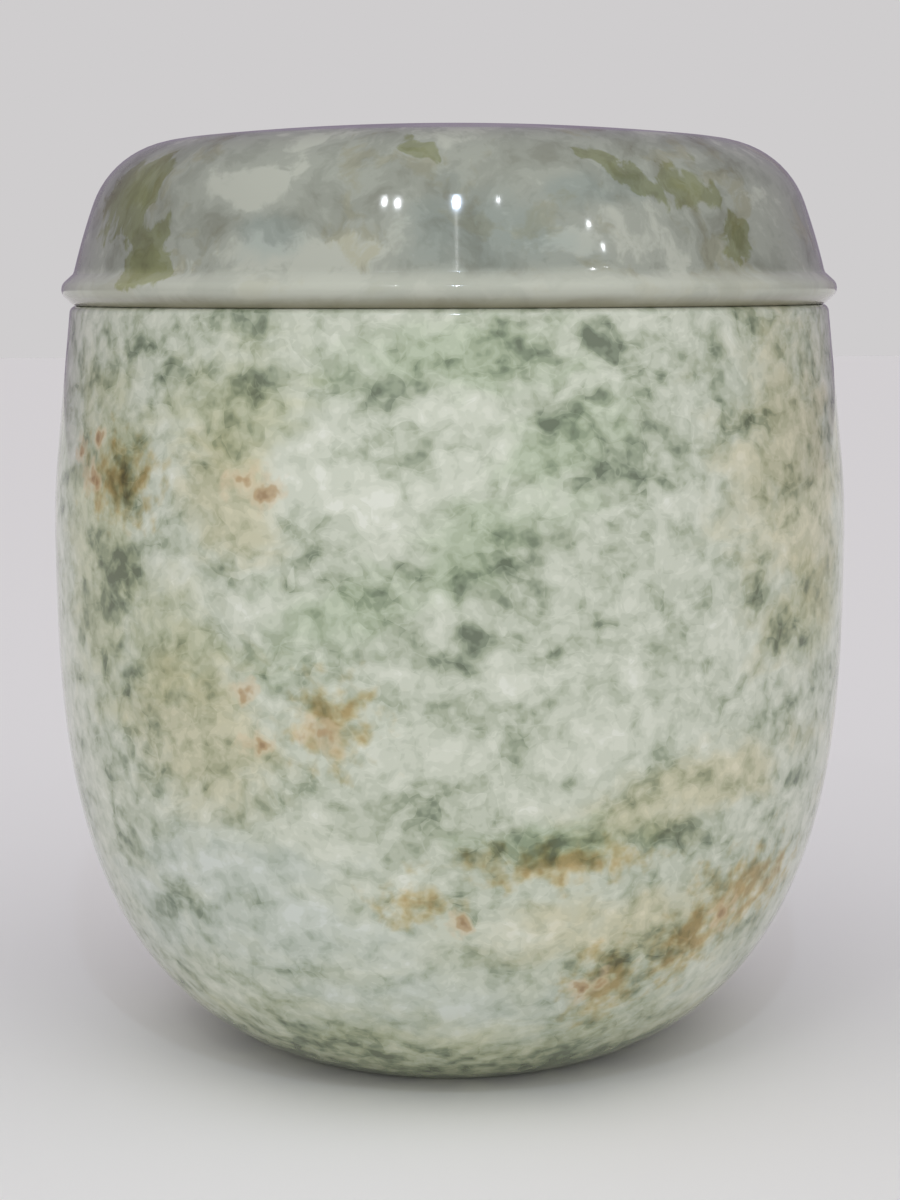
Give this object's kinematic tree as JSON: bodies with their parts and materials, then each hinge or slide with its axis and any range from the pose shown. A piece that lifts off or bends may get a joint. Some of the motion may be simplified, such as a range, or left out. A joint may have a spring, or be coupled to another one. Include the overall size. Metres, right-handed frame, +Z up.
{
  "type": "cremation urn",
  "caption": "Hollow turned stone cremation urn: full round belly on a small flat foot, under a low rounded lift-off lid with a bead round its base.",
  "frame": {"origin": "middle of the underside of the flat foot, on the surface that the urn stands on", "axes": "+Z up along the turning axis, from the foot to the lid's crown; the urn is round, and -Y is the side with the stone's broad green band and rust spots"},
  "size_m": [0.215, 0.215, 0.2494],
  "materials": {
    "stone_body": "polished pale green serpentine marble, mottled with cream clots, dark green and ochre spots",
    "stone_lid": "polished grey green serpentine marble, cloudy, with olive patches"
  },
  "bodies": {
    "root": {"urn_body": "stone_body", "urn_lid": "stone_lid"}
  },
  "joints": []
}
